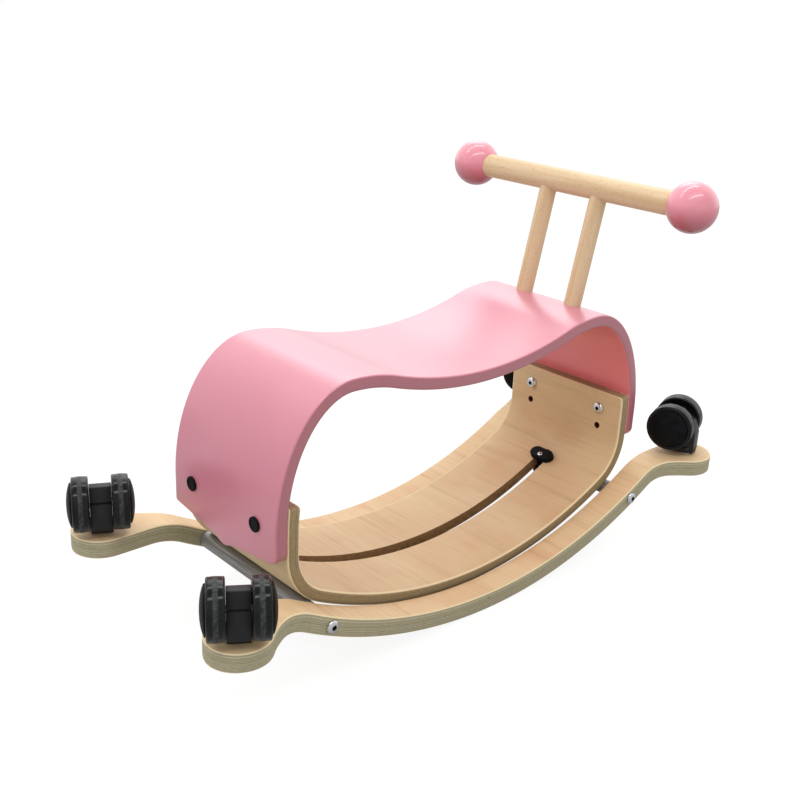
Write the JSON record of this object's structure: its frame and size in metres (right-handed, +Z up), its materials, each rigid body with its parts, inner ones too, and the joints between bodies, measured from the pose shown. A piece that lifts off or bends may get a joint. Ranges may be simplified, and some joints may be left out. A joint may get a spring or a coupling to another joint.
{
  "type": "ride-on rocker",
  "caption": "Bent-plywood toy that rocks on two curved rails or, turned over, rolls on swivel casters, with a saddle seat and a ball-ended handlebar.",
  "frame": {"origin": "on the floor, midway between the two rails and midway between the two cross tubes", "axes": "+X towards the handlebar end, +Y to the rider's left, +Z up"},
  "size_m": [0.6707, 0.3394, 0.405],
  "materials": {
    "birch_plywood": "satin clear lacquer on a birch veneer face",
    "pink_lacquered_plywood": "satin pink lacquer",
    "pink_gloss_lacquer": "gloss pink lacquer",
    "beech_dowel": "clear satin",
    "grey_coated_tube": "grey powder coat",
    "zinc_plated_steel": "zinc plated",
    "bright_fasteners": "bright plated",
    "black_nylon": "satin moulded",
    "black_polyurethane": "smooth moulded"
  },
  "bodies": {
    "frame": {"rail_left": "birch_plywood", "rail_right": "birch_plywood", "base_board": "birch_plywood", "seat_board": "pink_lacquered_plywood", "crossbar": "beech_dowel", "upright_left": "beech_dowel", "upright_right": "beech_dowel", "ball_left": "pink_gloss_lacquer", "ball_right": "pink_gloss_lacquer", "cross_tube_front": "grey_coated_tube", "clamp_head_front": "black_nylon", "clamp_hook_front": "black_nylon", "clamp_screw_front": "bright_fasteners", "tube_insert_front_left": "zinc_plated_steel", "rail_bolt_front_left": "bright_fasteners", "seat_bolt_front_left": "bright_fasteners", "seat_cap_front_left": "black_nylon", "caster_front_left_stem": "zinc_plated_steel", "tube_insert_front_right": "zinc_plated_steel", "rail_bolt_front_right": "bright_fasteners", "seat_bolt_front_right": "bright_fasteners", "seat_cap_front_right": "black_nylon", "caster_front_right_stem": "zinc_plated_steel", "cross_tube_rear": "grey_coated_tube", "clamp_head_rear": "black_nylon", "clamp_hook_rear": "black_nylon", "clamp_screw_rear": "bright_fasteners", "tube_insert_rear_left": "zinc_plated_steel", "rail_bolt_rear_left": "bright_fasteners", "seat_bolt_rear_left": "bright_fasteners", "seat_cap_rear_left": "black_nylon", "caster_rear_left_stem": "zinc_plated_steel", "tube_insert_rear_right": "zinc_plated_steel", "rail_bolt_rear_right": "bright_fasteners", "seat_bolt_rear_right": "bright_fasteners", "seat_cap_rear_right": "black_nylon", "caster_rear_right_stem": "zinc_plated_steel"},
    "caster_front_left": {"caster_front_left_hood": "black_nylon", "caster_front_left_axle": "zinc_plated_steel"},
    "caster_front_left_wheel_a": {"caster_front_left_wheel_a": "black_polyurethane"},
    "caster_front_left_wheel_b": {"caster_front_left_wheel_b": "black_polyurethane"},
    "caster_front_right": {"caster_front_right_hood": "black_nylon", "caster_front_right_axle": "zinc_plated_steel"},
    "caster_front_right_wheel_a": {"caster_front_right_wheel_a": "black_polyurethane"},
    "caster_front_right_wheel_b": {"caster_front_right_wheel_b": "black_polyurethane"},
    "caster_rear_left": {"caster_rear_left_hood": "black_nylon", "caster_rear_left_axle": "zinc_plated_steel"},
    "caster_rear_left_wheel_a": {"caster_rear_left_wheel_a": "black_polyurethane"},
    "caster_rear_left_wheel_b": {"caster_rear_left_wheel_b": "black_polyurethane"},
    "caster_rear_right": {"caster_rear_right_hood": "black_nylon", "caster_rear_right_axle": "zinc_plated_steel"},
    "caster_rear_right_wheel_a": {"caster_rear_right_wheel_a": "black_polyurethane"},
    "caster_rear_right_wheel_b": {"caster_rear_right_wheel_b": "black_polyurethane"}
  },
  "joints": [
    {"name": "caster_front_left_swivel", "type": "hinge", "parent": "frame", "child": "caster_front_left", "pos_m": [0.3, 0.112, 0.0876], "axis": [0, 0, 1], "continuous": true},
    {"name": "caster_front_left_wheel_a_spin", "type": "hinge", "parent": "caster_front_left", "child": "caster_front_left_wheel_a", "pos_m": [0.29111, 0.1247, 0.1198], "axis": [-0.8192, -0.5736, 0], "continuous": true},
    {"name": "caster_front_left_wheel_b_spin", "type": "hinge", "parent": "caster_front_left", "child": "caster_front_left_wheel_b", "pos_m": [0.29111, 0.1247, 0.1198], "axis": [-0.8192, -0.5736, 0], "continuous": true},
    {"name": "caster_front_right_swivel", "type": "hinge", "parent": "frame", "child": "caster_front_right", "pos_m": [0.3, -0.112, 0.0876], "axis": [0, 0, 1], "continuous": true},
    {"name": "caster_front_right_wheel_a_spin", "type": "hinge", "parent": "caster_front_right", "child": "caster_front_right_wheel_a", "pos_m": [0.2947, -0.09743, 0.1198], "axis": [-0.9397, -0.342, 0], "continuous": true},
    {"name": "caster_front_right_wheel_b_spin", "type": "hinge", "parent": "caster_front_right", "child": "caster_front_right_wheel_b", "pos_m": [0.2947, -0.09743, 0.1198], "axis": [-0.9397, -0.342, 0], "continuous": true},
    {"name": "caster_rear_left_swivel", "type": "hinge", "parent": "frame", "child": "caster_rear_left", "pos_m": [-0.3, 0.112, 0.0876], "axis": [0, 0, 1], "continuous": true},
    {"name": "caster_rear_left_wheel_a_spin", "type": "hinge", "parent": "caster_rear_left", "child": "caster_rear_left_wheel_a", "pos_m": [-0.30679, 0.09807, 0.1198], "axis": [0.8988, -0.4384, 0], "continuous": true},
    {"name": "caster_rear_left_wheel_b_spin", "type": "hinge", "parent": "caster_rear_left", "child": "caster_rear_left_wheel_b", "pos_m": [-0.30679, 0.09807, 0.1198], "axis": [0.8988, -0.4384, 0], "continuous": true},
    {"name": "caster_rear_right_swivel", "type": "hinge", "parent": "frame", "child": "caster_rear_right", "pos_m": [-0.3, -0.112, 0.0876], "axis": [0, 0, 1], "continuous": true},
    {"name": "caster_rear_right_wheel_a_spin", "type": "hinge", "parent": "caster_rear_right", "child": "caster_rear_right_wheel_a", "pos_m": [-0.30833, -0.12507, 0.1198], "axis": [0.8434, -0.5373, 0], "continuous": true},
    {"name": "caster_rear_right_wheel_b_spin", "type": "hinge", "parent": "caster_rear_right", "child": "caster_rear_right_wheel_b", "pos_m": [-0.30833, -0.12507, 0.1198], "axis": [0.8434, -0.5373, 0], "continuous": true}
  ]
}
